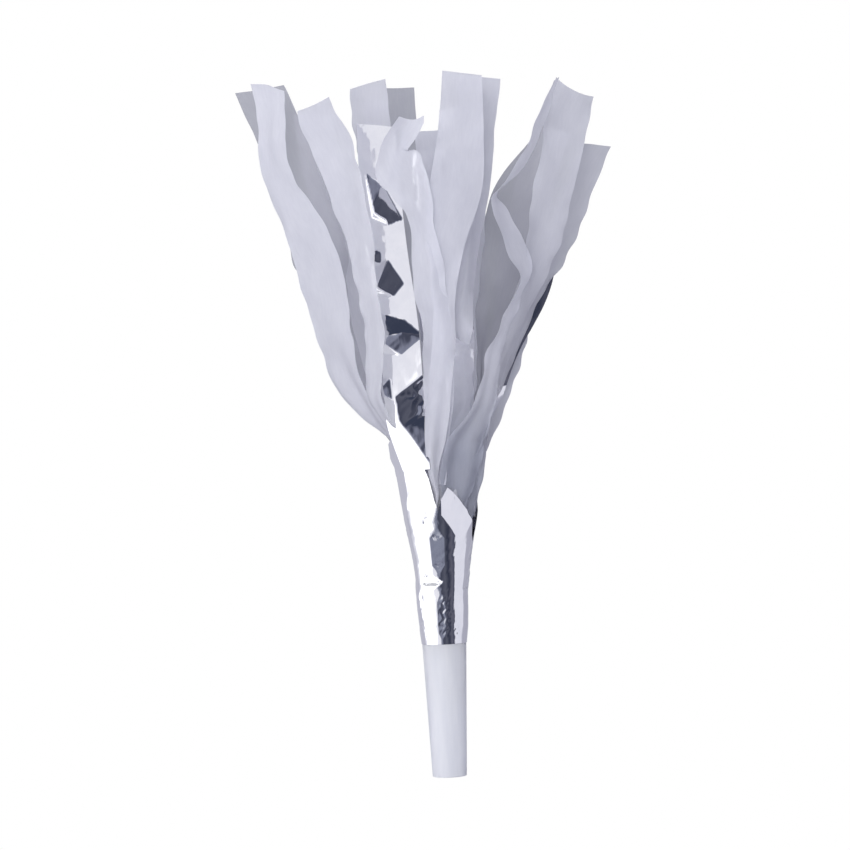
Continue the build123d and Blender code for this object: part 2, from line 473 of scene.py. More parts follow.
def strip_points(node, spec, seed):
    """The grid of a strip's sheet, its CAD line moved and bent as its keys say, and its UVs."""
    rng = random.Random(seed)
    keys = spec["keys"]
    bottom, top = keys[0][0], keys[-1][0]
    line = strip_line(node, bottom)
    rows, columns = spec.get("grid", PLAIN_GRID)
    s = np.linspace(-1, 1, columns)[None, :]
    v = np.linspace(0, 1, rows)[:, None]
    slant = spec.get("slant", 0.0) * s + spec.get("bow", 0.0) * (s * s - 0.5)
    z = bottom + (top + slant - bottom) * v
    width, turn, bend_left, bend_right = key_columns(keys, z)[2:]

    path = centre_path(line, keys)
    facing = np.interp(z, line[:, 0], line[:, 3]) + turn
    middle = path(z)
    tangent = unit(path(z + 1.0) - path(z - 1.0))
    level = np.stack([np.cos(np.radians(facing)), np.sin(np.radians(facing)), 0 * facing], -1)
    side = unit(level - (level * tangent).sum(-1, keepdims=True) * tangent)
    normal = unit(np.cross(side, tangent))

    angle = bend_angles(rng, spec, s, z, bend_left, bend_right)
    step = width / (columns - 1)
    dx, dn = np.cos(np.radians(angle)) * step, np.sin(np.radians(angle)) * step
    x, n = np.cumsum(dx, 1), np.cumsum(dn, 1)
    half = columns // 2
    x, n = x - x[:, half:half + 1], n - n[:, half:half + 1]
    swell = spec.get("swell", 1.0)
    n = n + swell * 0.8 * waves(rng, s, z, 2.2, 32)
    n = n + swell * 0.35 * np.abs(s) ** 3 * waves(rng, s, z, 4.0, 8)
    if "relief" in spec:
        n = n + spec["relief"](x, z)
    points = middle + side * x[..., None] + normal * n[..., None]
    steps = np.linalg.norm(np.diff(middle[:, half], axis=0), axis=1)
    along = np.concatenate([[0], np.cumsum(steps)])
    uvs = np.stack(np.broadcast_arrays(s * width / 2, along[:, None]), -1) * MM
    return points, uvs


def bend_ends(node):
    """Two points in metres on the line of the strip's root, below and above the neck."""
    low, high = NECK - BEND_BELOW, NECK + BEND_ABOVE
    root = cad_line(node, 3)[0]
    share = 1.0 / sleeve_radius(NECK)
    place = np.array([root[1], root[2]])
    start = place * (sleeve_radius(low) * share)
    return (start[0] * MM, start[1] * MM, low * MM), (place[0] * MM, place[1] * MM, high * MM)


def strip_sheet(name, node, spec, material, seed):
    points, uvs = strip_points(node, spec, seed)
    piece = grid_piece(name, points, uvs, material)
    start, end = bend_ends(node)
    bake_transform(piece)
    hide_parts(node)


# ---------------------------------------------------------------- strips
# Keys by height: moved right, moved front, width, turned, left edge bent, right edge bent

OUTER = {
    1: dict(keys=[  # the tall strip in front of the crown
        (88, -3.2, 1.2, 0.5, -8, 0, 0), (92, -3.0, 1.2, 1.4, -8, 0, 0),
        (97, -3.9, 1.2, 2.8, -10, -6, -6), (103, -4.2, 1.2, 4.8, -12, -10, -10),
        (109.5, -3.7, 1.1, 7.0, -12, -14, -10), (116, -3.2, 1.0, 8.0, -12, -14, -10),
        (128.5, -2.3, 1.0, 7.6, -14, -16, -12), (141, -1.8, 1.2, 7.6, -14, -16, -14),
        (154, -2.5, 1.5, 7.0, -12, -18, -18), (160, -2.8, 1.5, 8.3, -12, -18, -16),
        (166.5, -3.0, 1.5, 10.2, -11, -14, -16), (173, -3.2, 1.5, 13.0, -10, -12, -16),
        (178, -2.8, 1.5, 14.6, -9, -10, -14), (182.5, -2.0, 1.5, 16.0, -8, -8, -12),
        (190, -0.8, 1.5, 17.0, -8, -8, -10), (205, -0.3, 1.2, 15.0, -8, -4, -8),
        (225.3, -0.4, 1.0, 12.6, -8, 0, -6)], slant=-0.65),
    2: dict(keys=[  # the ribbon that turns its edge to the front, with a flap below
        (84, -1.4, -1.8, 7, -14, 0, 0), (90, -2.2, -1.4, 10, -16, 0, 0), (96.4, -1.8, -0.5, 14, -16, 0, 0),
        (103, -2.0, 0, 15.5, -15, 0, 0), (109.4, -2.2, 0, 15.5, -15, 6, 6),
        (112.7, -1.0, 0, 14, -15, 6, 6), (116, -0.3, 0, 11.5, -13, 8, 8),
        (121.6, 1.3, 0, 10, -12, 8, 8), (128, 1.0, 0, 10, 8, 6, 10), (134.3, 1.1, 0, 9.5, 14, 6, 10),
        (140.5, 1.8, 0, 9, 21, 8, 10), (146.8, 4.4, 0, 9, 22, 8, 10), (153, 6.7, 0, 9, 20, 8, 8),
        (159.4, 9.5, -1, 9, 20, 8, 8), (166, 7.3, -1, 10, -2, 8, 8), (172, 3.5, 0, 10.5, -7, 8, 8),
        (177, -0.2, 0, 10, -4, 8, 8), (182, -2.9, 0, 10, -2, 6, 6), (186.7, -5.2, 0, 8.5, 10, 4, 4),
        (189, -4.4, 0, 8.5, 16, 4, 4), (191.3, -2.4, 0, 9, 12, 6, 6), (196, 1.7, 0, 9.5, 9, 6, 6),
        (200.6, 3.4, 0, 9.5, 13, 6, 6), (205.3, 4.2, 0, 9, 18, 4, 6), (210, 4.1, 0, 9, 17, 2, 6),
        (219.6, 3.5, 0, 9, 18, 0, 6), (223, 3.2, 0, 8, 18, 0, 6)], slant=0.3, flutter=4, tissue="painted_root_shade"),
    3: dict(keys=[
        (76, 0.2, -1.0, 4, 0, 0, 0), (86, -0.6, -1.2, 7.5, 0, 0, 0), (104, -1.0, 0, 11, 0, 0, 0),
        (115, -3.0, 0, 11, 6, 0, 0),
        (121.6, -3.5, 0, 11, 8, 0, 0), (128, -4.0, 0, 12, 12, 0, 0), (134.3, -3.5, 0, 12, 14, 4, 4),
        (140.7, -2.7, 0, 12.5, 12, 4, 4), (147, -1.4, 0, 13, 12, 6, 4), (153.5, -0.4, 0, 13, 13, 6, 4),
        (160, 0.3, 0, 14, 9.6, 8, 2), (166, 0.2, 0, 14.5, 10, 8, 0), (172.6, 0.1, 0, 15, 8, 8, 0),
        (182, 0, 0, 15, 3, 8, 0), (191.7, 0.6, 0, 15, -2, 6, 0), (201, 1.4, 0, 14.5, 0, 4, 2),
        (211, 0.3, 0, 15.2, -3, 4, 4), (220.8, 0.2, 0, 14.2, 0, 6, 6)],
            slant=-1.2, bow=1.2, tissue="thin_rooted"),
    4: dict(keys=[
        (84, 0, 0, 9, 0, 0, 0), (104, -1.0, 0, 11, 0, 0, 0), (108, -2.0, 0, 11, 0, 0, 0),
        (114.8, -3.9, 0, 12, 0, 0, 0), (121, -4.3, 0, 12.5, 0, 0, 0), (127.6, -3.9, 0, 13, 0, 0, 0),
        (134, -3.8, 0, 14, 0, 0, 0), (140.6, -2.2, 0, 14, 0, 0, 2), (147, -0.8, 0, 14.5, 0, 0, 4),
        (154, -0.6, 0, 15, 0, 0, 6), (162, 0.4, 0, 15, 0, 0, 6), (203.6, 1.0, 0, 14.5, 0, 0, 0)],
            slant=2.2, tissue="thin"),
    5: dict(keys=[(95, 0, 0, 9, 0, 0, 0), (120, 0, 0, 14, 0, 5, 5), (195, 0, 0, 15, 0, 8, 8),
                  (212, 2.4, 0, 13, 0, 8, 8)], slant=1.0),
    6: dict(keys=[(95, 0, 0, 9, 0, 0, 0), (120, 0, 0, 14, 0, 5, 5), (222, 0, 0, 15, 0, 8, 8)],
            slant=-1.0),
    7: dict(keys=[(95, 0, 0, 9, 0, 0, 0), (120, 0, 0, 14, 0, 5, 5), (229.2, 0, 0, 15, 0, 0, 0)],
            slant=0.4, tissue="sheer"),
    8: dict(keys=[(100, 1, 0, 8, 0, 0, 0), (120, 0, 0, 14, 0, 5, 5), (220.4, 0, 0, 15, 0, 6, 6)],
            slant=0.4),
    9: dict(keys=[
        (102, 2.4, 0, 7, 0, 0, 0), (110, 2.4, 0, 10, 0, 2, 2), (120, 1.6, 0, 14, 0, 5, 5),
        (150, 2.0, 0, 16, 0, -10, 0), (160, 2.2, 0, 17, 0, -20, 0), (175, 2.0, 0, 18, -4, -34, 0),
        (190, 1.9, 0, 18, -6, -42, 0), (200, 1.3, 0, 17.5, -6, -45, 0),
        (226.4, 0, 0, 16.6, -6, -40, 10)], slant=2.2, creases=[(-0.78, 38, 168, 240)],
        tissue="sheer"),
    10: dict(keys=[
        (102, 3.6, -1.5, 6, 0, 0, 0), (106, 5.6, -1.5, 7, 4, 0, 0), (111, 7.4, -1, 9, 8, 0, 0),
        (117.5, 5.6, 0, 13.5, 12, 2, 0), (124, 4.2, 0, 15, 14, 4, 0), (130.5, 3.8, 0, 16, 18, 6, 0),
        (137, 4.8, 0, 16.5, 20, 8, -2), (145, 5.0, 0, 17, 24, 10, -4), (157, 5.3, 0, 17.5, 24, 10, -8),
        (164, 4.9, 0, 17, 20, 8, -12), (170, 4.2, 0, 16, 16, 6, -14), (176, 2.9, 0, 15, 12, 4, -16),
        (181, 1.2, 0, 14, 6, 2, -18), (186, -0.6, 0, 13.2, 2, 0, -20), (191, -2.5, 0, 13.0, 0, 0, -22),
        (198, -3.6, 0, 13.0, 0, 0, -22), (206, -3.3, 0, 12.8, -2, 2, -25),
        (215, -1.4, 0, 12.4, -6, 4, -28), (225.2, 0.2, 0, 12.4, -16, 8, -30)],
             slant=-2.2, bow=-0.5),
    11: dict(keys=[
        (95, 2.0, -1.5, 6.5, 0, 0, 0), (104, 2.6, -2.4, 7, 0, 0, 0), (112, 2.2, -3.2, 8, 0, 0, 0),
        (118, 0.4, -2.0, 9, 0, 0, 0), (124, -1.1, 0, 10, 0, 0, 0),
        (130.5, 0.5, 0, 9, 0, 0, 0), (137, 1.8, 0, 8, 2, -10, -2), (143, 3.4, 0, 8, 4, -20, -4),
        (149, 3.7, 0, 8, 6, -24, -6), (156, 3.5, 0, 8, 6, -28, -8), (162, 3.3, 0, 8.4, 6, -28, -8),
        (169, 3.5, 0, 9, 6, -28, -8), (175, 3.7, 0, 9.6, 5, -26, -8), (180, 3.2, 0, 10.6, 4, -20, -8),
        (184, 2.5, 0, 11.8, 4, -14, -8), (189, 2.5, 0, 12.8, 3, -10, -8), (193, 2.2, 0, 13.8, 2, -8, -8),
        (198, 1.5, 0, 14.4, 1, -6, -8), (203, 1.3, 0, 15.5, 0, -4, -8), (208, 0.5, 0, 14.9, 0, -2, -6),
        (212, -0.3, 0, 13.4, 0, 0, -4), (216.9, 0, 0, 12.0, 0, 0, 0)], slant=1.0, flutter=5),
    12: dict(keys=[
        (95, 3.6, -1, 8, 0, 0, 0), (112, 5.6, -1.5, 9.5, 6, 0, 0), (122, 7.4, -2, 10, 6, 0, 0),
        (136, 7.7, -2, 10, 6, 0, 0), (147, 7.4, -2, 10, 6, 0, 0), (154, 5.8, -1.5, 10.5, 4, 0, 0),
        (167, 4.4, -1, 10.5, 2, 2, 4), (179, 2.5, -0.5, 8.6, 4, 4, 8), (184, 1.6, 0, 10.2, 8, 8, 12),
        (189, -0.4, 0, 12.8, 12, 12, 14), (192.5, -1.9, 0, 14.2, 16, 14, 16),
        (196, -4.0, 0, 16.2, 20, 16, 18), (198.5, -5.0, 0, 15, 22, 18, 18),
        (202.5, -5.6, 0, 9, 30, 18, 18), (207, -2.4, 0, 8.4, 26, 16, 16), (211, 0.6, 0, 8.0, 20, 14, 14)],
             slant=1.2, flutter=5),
}


INNER = {
    1: dict(keys=[(95, 0, 0, 8, 0, 0, 0), (120, 0, 0, 11, 0, 0, 0), (150, 0, 3, 12.4, 0, 0, 0),
                  (200, 0.2, 2, 13.6, 0, 0, 4), (225.8, 0.3, 1, 14, 0, 0, 4)],
            slant=-0.2, creases=[(0.35, -26, 150, 215)]),
    2: dict(keys=[(94, 0, 0, 8, 0, 0, 0), (120, 0, 0, 12, 0, 0, 0), (170, 2, 0, 18, 0, 0, 0),
                  (190, 2.2, 0, 14.4, 0, 0, 0), (198, 4.4, 0, 9.6, 0, 0, 0), (204, 6.6, 0, 6, 0, 0, 0),
                  (212, 8.2, 0, 2.4, 0, 0, 0)], slant=0.4, tissue="painted_deep_shade"),
    3: dict(keys=[(95, 0, 0, 8, 0, 0, 0), (120, 0, 0, 12, 0, 0, 0), (190, -1.6, 0, 12, 0, 0, 0),
                  (211.5, -4.0, 0, 9.5, 0, 0, 0)], slant=0.3),
    4: dict(keys=[(95, 0, 0, 8, 0, 0, 0), (120, 0, 0, 12, 0, 0, 0), (222, 0, 0, 14, 0, 0, 0)]),
    5: dict(keys=[(95, 0, 0, 8, 0, 0, 0), (120, -1, 0, 12, 10, 0, 0), (170, -0.8, 0, 13.8, 16, 0, 0),
                  (225.3, -0.9, 0, 15.2, 24, 0, 0)], slant=0.7, tissue="thin"),
}


# ---------------------------------------------------------------- foil

def pyramid(x, z, corners, slopes):
    """A many-sided tent over a convex outline: each side rises from its edge at its own slope."""
    sides = []
    for (ax, az), (bx, bz), slope in zip(corners, corners[1:] + corners[:1], slopes):
        length = math.hypot(bx - ax, bz - az)
        inward = ((bz - az) * (x - ax) - (bx - ax) * (z - az)) / length
        sides.append(slope * inward)
    return np.maximum(np.minimum.reduce(sides), 0)


# Dents of the front foil strip: corners (right of its middle, height), clockwise from the lower
# left, and the slope that rises from each side
FRONT_DENTS = [
    ([(-3.4, 181.5), (-4.6, 196.5), (1.3, 191), (6.4, 180.2), (1.2, 178.8)],
     (1.5, 0.25, 0.28, 0.9, 0.9)),
    ([(-6.6, 167), (-6.4, 174), (-2.0, 170.5), (-2.4, 167)], (1.5, 0.3, 0.3, 0.8)),
    ([(-6.2, 158), (-5.4, 167.5), (0, 168), (4, 159.5), (0, 156)], (1.5, 0.3, 0.3, 0.32, 0.9)),
    ([(-7.6, 138.5), (-7.4, 152.5), (2, 148.5), (8, 142.5), (0, 137)],
     (1.5, 0.33, 0.4, 0.3, 0.6)),
    ([(-7.4, 123), (-7.2, 131), (-4.2, 130), (-4, 123)], (1.2, 0.3, 0.3, 0.5)),
]
# The fold at the foot of the front foil strip: right of this line it turns inwards
FRONT_FOLD = [(98, 7.5), (100, 5.8), (116.5, -2.4), (124, -3.0), (130, 6.5), (132, 7.5)]
FRONT_FOLD_SLOPE = 0.46


def front_relief(x, z):
    """The front foil strip's dents, the fold at its foot and its fine creases."""
    rng = random.Random(41)
    total = np.zeros(np.broadcast(x, z).shape)
    for corners, slopes in FRONT_DENTS:
        total = total + pyramid(x, z, corners, slopes)
    fine = facets(rng, x, z, 1.7)
    coarse = facets(rng, x, z, 6.0)
    crumpled = smoothstep(z, 115, 118) * (1 - smoothstep(z, 126, 130))
    fold = np.maximum(x - np.interp(z, *zip(*FRONT_FOLD)), 0)
    creased = np.minimum(fold, 1) * (0.05 + 0.15 * crumpled)
    return total - FRONT_FOLD_SLOPE * fold + 0.14 * coarse + fine * (0.02 + creased)


def loose_relief(seed, size):
    """A function that gives a foil strip's crumpled relief."""
    def relief(x, z):
        rng = random.Random(seed)
        return size * facets(rng, x, z, 6.5) + 0.25 * size * facets(rng, x, z, 2.3)
    return relief


LOOSE_FOIL = dict(grid=(180, 25), pleats=(1, 8, 30))

FOILS = {
    1: dict(keys=[
        (100, -2.1, 2.4, 9.4, -2, 0, 0), (109, -3.0, 2.2, 12.4, -2, 0, 0),
        (116, -3.8, 1.8, 13.4, 0, 0, 0), (122, -3.5, 1.2, 13.4, 2, 0, 0),
        (130, -3.0, 0.6, 13.2, 5, 0, 0), (145, -2.0, 0, 13.2, 8, 0, 0),
        (172, -1.7, 0, 13.5, 8, 0, 0), (211, 0, 0, 12.5, 8, 0, 0)],
            slant=-1.0, grid=(280, 41), pleats=(1, 0, 30), flutter=0, swell=0.0, relief=front_relief),
    2: dict(keys=[
        (99, 0.4, -4, 6, 0, 0, 0), (108, 0, -2.2, 8, 0, 0, 0), (116, -0.6, 0.5, 10, -2, 0, 0),
        (128, -1.0, 1.5, 11, -2, 0, 0), (137, -1.2, 0.5, 11, -2, 0, 0), (150, -2, -8, 12, 0, 0, 0),
        (204, -1, -9, 12, 0, 0, 0)],
            grid=(220, 31), pleats=(1, 0, 30), flutter=0, swell=0.2, relief=loose_relief(52, 0.14)),
    3: dict(keys=[
        (88, 0, 0, 8, 0, 0, 0), (112, 0, 0, 9, -20, 0, 0), (121.5, 0, 0, 9, -50, 0, 0),
        (128, -1.3, 0, 8.4, -86, 0, 0), (134.5, -1.3, 0, 8.4, -93, 0, 0), (141, -0.6, 0, 8.4, -96, 0, 0),
        (147.5, 0.9, 0, 8.4, -96, 0, 0), (154, 2.1, 0, 8.4, -96, 0, 0), (160.5, 2.1, 0, 8.4, -96, 0, 0),
        (167, 1.2, 0, 7.6, -96, 0, 0), (176, 0.4, 0, 7.6, -96, 0, 0)],
            **LOOSE_FOIL, flutter=1, swell=0.1, relief=loose_relief(53, 0.12)),
    4: dict(keys=[(95, 0, 0, 8, 0, 0, 0), (120, 0, 0, 13, 0, 0, 0), (180, 0, 0, 14, -10, 0, 0),
                  (206, 0.5, 0, 13, -12, 0, 0)],
            **LOOSE_FOIL, flutter=1, swell=0.1, relief=loose_relief(54, 0.1)),
    5: dict(keys=[(95, 0, 0, 8, 0, 0, 0), (120, 0, 0, 13, 0, 0, 0), (188, 0, 0, 14, 0, 0, 0),
                  (202, 5, 0, 9, 0, 0, 0), (213, 8.5, 0, 5, 0, 0, 0)],
            **LOOSE_FOIL, flutter=5, relief=loose_relief(55, 0.5)),
    6: dict(keys=[(100, 2.5, -1, 5, 0, 0, 0), (110, 4, -1, 7, 0, 0, 0), (124, 2, 0, 11, 0, 0, 0),
                  (145, 5, 0, 11, 0, 0, 0),
                  (180, 6, 0, 11, 0, 0, 0), (205, 6, 0, 12, 0, 0, 0)],
            **LOOSE_FOIL, flutter=5, relief=loose_relief(56, 0.5)),
}

# Each layer of strips: its name, table, slot and the seed that its strips' numbers are added to
LAYERS = [
    ("outer_tissue", OUTER, "tissue", 100), ("inner_tissue", INNER, "tissue", 200),
    ("foil", FOILS, "foil", 300),
]


def build_strips():
    for layer, table, slot, seed in LAYERS:
        for number, spec in table.items():
            material = FOIL
            if slot == "tissue":
                material = TISSUE_LAYERS.get(spec.get("tissue"), TISSUES[number % 3])
            name, node = f"{layer}_sheet_{number:02d}", f"{layer}_strip_{number:02d}"
            strip_sheet(name, node, spec, material, seed + number)


# ---------------------------------------------------------------- sleeve

# The sleeve foil's upper edge: azimuth and height
FOIL_EDGE = [
    (-180, 105), (-120, 107), (-85, 111), (-60, 113.5), (-45, 114.5), (-38, 110), (-30, 107),
    (-20, 102), (-12, 97), (-6, 90), (-1, 86.5), (3, 90), (14, 94), (24, 92.5), (54, 86.5),
    (60, 84), (67, 78), (78, 76), (90, 86), (100, 93), (125, 103), (180, 105),
]

# Flats pressed into the sleeve: the azimuth that one faces, its half width in degrees, the
# heights that it runs between and how far it tilts up
NECK_FLATS = [
    (-22, 22, 76, 132, 0), (-5, 13, 66, 81, 0), (-24, 27, 60.5, 66.5, 0), (36, 33, 76, 130, 0),
    (-76, 30, 72, 132, 0), (40, 12, 46, 78, 0), (-3, 10, 44, 60, 0), (-84, 27, 56, 106, 0),
    (-45, 13, 46, 62, 3), (-27, 16, 77, 84.5, 9), (-47, 12, 86, 104, 0), (74, 16, 58, 82, -3),
    (112, 20, 62, 98, 2), (150, 22, 54, 84, 4), (-112, 22, 66, 104, 3), (-150, 20, 52, 78, -4),
    (180, 24, 70, 100, 2), (130, 16, 46, 60, -2), (-134, 18, 84, 110, 0), (150, 18, 86, 108, -3),
    (100, 12, 46, 62, 3), (-96, 12, 46, 62, -3),
]
# The height over which a flat fades in, by the azimuth that it faces, and that of the others
FLAT_FADE = {36: 9, -76: 20, -22: 14, -84: 8}
PLAIN_FADE = 3
# Crumpled spots of the sleeve: azimuth, height, size in degrees and in height, and strength
CRUMPLES = [
    (6, 52, 12, 8, 1), (34, 48, 8, 5, 1), (-26, 84, 8, 2.5, 3), (-34, 66, 6, 3, 2.5),
    (96, 70, 24, 10, 1), (170, 62, 30, 9, 1), (-120, 78, 26, 9, 1), (-60, 52, 16, 6, 1),
]
# The foil widens by this much for each millimetre above the neck
FLARE = 0.12
# It stands this far off the CAD sleeve, except at the foot, where it is drawn in
SKIN_GAP = 0.2
FOOT_GRIP = 0.28
# The deepest cut of a flat at the foot and higher up, and the heights between which it grows
FOOT_HEM = 0.35
NECK_CUT = 2.0
CUT_LOW, CUT_HIGH = 59, 65


def neck_surface(azimuth, z):
    """Radius of the crumpled sleeve foil: its cone, cut by flats, with fine facets."""
    rng = random.Random(77)
    cone = sleeve_radius(z) + SKIN_GAP * smoothstep(z, SLEEVE_FOOT, SLEEVE_FOOT + 14)
    cone = cone - FOOT_GRIP * (1 - smoothstep(z, SLEEVE_FOOT, SLEEVE_FOOT + 7))
    cone = cone + FLARE * np.maximum(z - NECK, 0)
    radius = cone.copy()
    for faces, half, low, high, tilt in NECK_FLATS:
        turn = np.radians(turn_from(azimuth, faces))
        reach = FLAT_FADE.get(faces, PLAIN_FADE)
        fade = np.clip(np.minimum(z - low, high - z) / reach, 0, 1)
        narrow = np.cos(np.radians(half * fade))
        lean = math.tan(math.radians(tilt)) * (z - (low + high) / 2)
        plane = (cone * narrow - lean * fade) / np.maximum(np.cos(turn), 0.3)
        radius = np.where(fade > 0, np.minimum(radius, plane), radius)
    deepest = FOOT_HEM + (NECK_CUT - FOOT_HEM) * smoothstep(z, CUT_LOW, CUT_HIGH)
    radius = np.maximum(radius, cone - deepest)
    around = np.radians(azimuth) * sleeve_radius(NECK) * 0.6
    fine = 0.03 * facets(rng, around, z, 1.6) + 0.07 * facets(rng, around, z, 4.5)
    creased = np.zeros_like(z)
    for faces, height, degrees, tall, strength in CRUMPLES:
        turn = turn_from(azimuth, faces)
        spot = np.exp(-((turn / degrees) ** 2) - ((z - height) / tall) ** 2)
        creased = np.maximum(creased, strength * spot)
    fine = fine + 0.11 * creased * facets(rng, around, z, 0.9)
    settle = smoothstep(z, SLEEVE_FOOT, SLEEVE_FOOT + 3)
    return cone + (radius - cone) * settle + fine * (0.2 + 0.8 * settle)


def build_neck_foil():
    """The outer foil of the sleeve, with its uneven upper edge."""
    columns, rows = 360, 220
    azimuth = np.linspace(-180, 180, columns, endpoint=False)[None, :]
    edge = np.interp(azimuth, *zip(*FOIL_EDGE))
    v = np.linspace(0, 1, rows)[:, None]
    z = SLEEVE_FOOT + (edge - SLEEVE_FOOT) * v
    azimuth = np.broadcast_to(azimuth, z.shape)
    radius = neck_surface(azimuth, z)
    points = outward(azimuth) * radius[..., None]
    points[..., 2] = z
    around = np.radians(azimuth) * sleeve_radius(NECK)
    uvs = np.stack([around, z], -1) * MM
    piece = grid_piece("foil_sleeve_skin", points, uvs, FOIL, closed=True)
    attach(piece, "horn")
    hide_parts("foil_sleeve")


# The tissue inside the foil lies this far in at its foot, and this much further in above
TISSUE_INSET = 0.35
TISSUE_DEPTH = 3.0
DEPTH_LOW, DEPTH_HIGH = 59, 70
SLEEVE_PLEATS = 17
PLEAT_DEPTH = 0.4


def build_tissue_sleeve():
    """The pleated tissue inside the foil."""
    columns, rows = 240, 60
    azimuth = np.linspace(-180, 180, columns, endpoint=False)[None, :]
    z = np.linspace(SLEEVE_FOOT + 2, NECK, rows)[:, None]
    azimuth, z = np.broadcast_arrays(azimuth, z)
    rng = random.Random(9)
    depth = smoothstep(z, 60, NECK)
    radius = sleeve_radius(z) - TISSUE_INSET - TISSUE_DEPTH * smoothstep(z, DEPTH_LOW, DEPTH_HIGH)
    radius = radius - PLEAT_DEPTH * depth * (1 + np.sin(np.radians(azimuth * SLEEVE_PLEATS)))
    radius = radius - 0.15 * depth * waves(rng, azimuth, z, 40, 30)
    points = outward(azimuth) * radius[..., None]
    points[..., 2] = z
    uvs = np.stack([np.radians(azimuth) * radius, z], -1) * MM
    piece = grid_piece("tissue_sleeve_skin", points, uvs, TISSUES[0], closed=True)
    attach(piece, "horn")
    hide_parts("tissue_sleeve_outer", "tissue_sleeve_inner")


# ---------------------------------------------------------------- mouthpiece

LIP_ROUND = 0.35
BORE_ROUND = 0.45
BORE_TAPER_FROM = 10
LIP_ROWS, WALL_ROWS, BORE_ROWS = 7, 40, 30
MOULD_LINES = (88, -92)
MOULD_LINE_HEIGHT, MOULD_LINE_WIDTH = 0.03, 1.5


def build_mouthpiece():
    """The moulded tube: rounded lip, tapered bore and wall, and two faint mould lines."""
    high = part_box("mouthpiece")[1]
    top, top_radius = high.z / MM, high.x / MM
    mesh = np.array([v.co for v in NODES["mouthpiece"].data.vertices]) / MM
    radii = np.hypot(mesh[:, 0], mesh[:, 1])
    foot = radii[mesh[:, 2] < 1]
    bore, wall = foot.min(), foot.max()
    top_bore = radii[mesh[:, 2] > top - 1].min()
    quarter = [math.radians(90 * i / (LIP_ROWS - 1)) for i in range(LIP_ROWS)]
    outline = [(bore + BORE_ROUND, 0.0)]
    for a in quarter:
        outline.append((wall - LIP_ROUND + LIP_ROUND * math.sin(a), LIP_ROUND - LIP_ROUND * math.cos(a)))
    for t in np.linspace(0.02, 1, WALL_ROWS):
        outline.append((wall + (top_radius - wall) * t, LIP_ROUND + (top - LIP_ROUND) * t))
    for t in np.linspace(0, 1, BORE_ROWS):
        outline.append((top_bore + (bore - top_bore) * t, top + (BORE_TAPER_FROM - top) * t))
    for a in quarter:
        outline.append((bore + BORE_ROUND * (1 - math.cos(a)), BORE_ROUND * (1 - math.sin(a))))
    columns = 128
    azimuth = np.linspace(-180, 180, columns, endpoint=False)[None, :]
    r = np.array([p[0] for p in outline])[:, None]
    z = np.array([p[1] for p in outline])[:, None] + 0 * azimuth
    ridges = sum(np.exp(-((azimuth - line) / MOULD_LINE_WIDTH) ** 2) for line in MOULD_LINES)
    on_wall = np.zeros((len(outline), 1))
    on_wall[1 + LIP_ROWS:1 + LIP_ROWS + WALL_ROWS] = 1
    radius = r + MOULD_LINE_HEIGHT * ridges * on_wall
    points = outward(np.broadcast_to(azimuth, z.shape)) * radius[..., None]
    points[..., 2] = z
    uvs = np.stack([np.radians(azimuth) * wall + 0 * z, z], -1) * MM
    piece = grid_piece("mouthpiece_shell", points, uvs, frosted_material(), closed=True)
    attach(piece, "horn")
    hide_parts("mouthpiece")


def dress_cad_nodes():
    """Materials for the reed and tape, which keep their CAD shapes."""
    plastic = plain_piece_material(
        "reed_plastic", (0.66, 0.66, 0.63), (0.78, 0.78, 0.75), (0.38, 0.52), 900
    )
    film = plain_piece_material(
        "reed_film", (0.62, 0.66, 0.70), (0.75, 0.78, 0.82), (0.12, 0.22), 600
    )
    tape = plain_piece_material(
        "clear_tape", (0.78, 0.76, 0.66), (0.86, 0.85, 0.78), (0.10, 0.2), 500
    )
    dressed = {"reed_plug": plastic, "reed_wedge": plastic, "reed_tab": film,
               "reed_blade": film, "tape_band": tape}
    for node, material in dressed.items():
        NODES[node].data.materials.clear()
        NODES[node].data.materials.append(material)


# ---------------------------------------------------------------- stage

CAMERA_LENS = 135.0
CAMERA_DISTANCE = 1.037
CAMERA_ROLL = 2.4
AIM = (-0.0033, 0.0, 0.1144)
FLOOR_RADIUS = 0.7
FLOOR_DROP = 0.0006


def build_camera():
    data = bpy.data.cameras.new("camera")
    data.lens = CAMERA_LENS
    camera = bpy.data.objects.new("camera", data)
    bpy.context.scene.collection.objects.link(camera)
    roll = math.radians(CAMERA_ROLL)
    right = Vector((math.cos(roll), 0, -math.sin(roll)))
    up = Vector((math.sin(roll), 0, math.cos(roll)))
    back = Vector((0, -1, 0))
    place = Vector(AIM) + back * CAMERA_DISTANCE
    turn = Matrix((right, up, back)).transposed().to_4x4()
    camera.matrix_world = Matrix.Translation(place) @ turn
    bpy.context.scene.camera = camera


def build_floor():
    """A pale floor that the camera sees as plain white and the foil does not mirror."""
    bpy.ops.mesh.primitive_circle_add(
        vertices=96, radius=FLOOR_RADIUS, fill_type="NGON", location=(0, 0, -FLOOR_DROP)
    )
    floor = bpy.context.object
    floor.name = "floor"
    material, nodes, links, base, output = new_material("pale_floor")
    base.inputs["Base Color"].default_value = (0.8, 0.8, 0.82, 1)
    base.inputs["Roughness"].default_value = 0.9
    glow = nodes.new("ShaderNodeEmission")
    glow.inputs["Color"].default_value = (1, 1, 1, 1)
    seen = nodes.new("ShaderNodeLightPath")
    mix = mixed(
        nodes, links, seen.outputs["Is Camera Ray"], base.outputs["BSDF"], glow.outputs["Emission"]
    )
    links.new(mix, output.inputs["Surface"])
    floor.data.materials.append(material)
    floor.visible_glossy = False


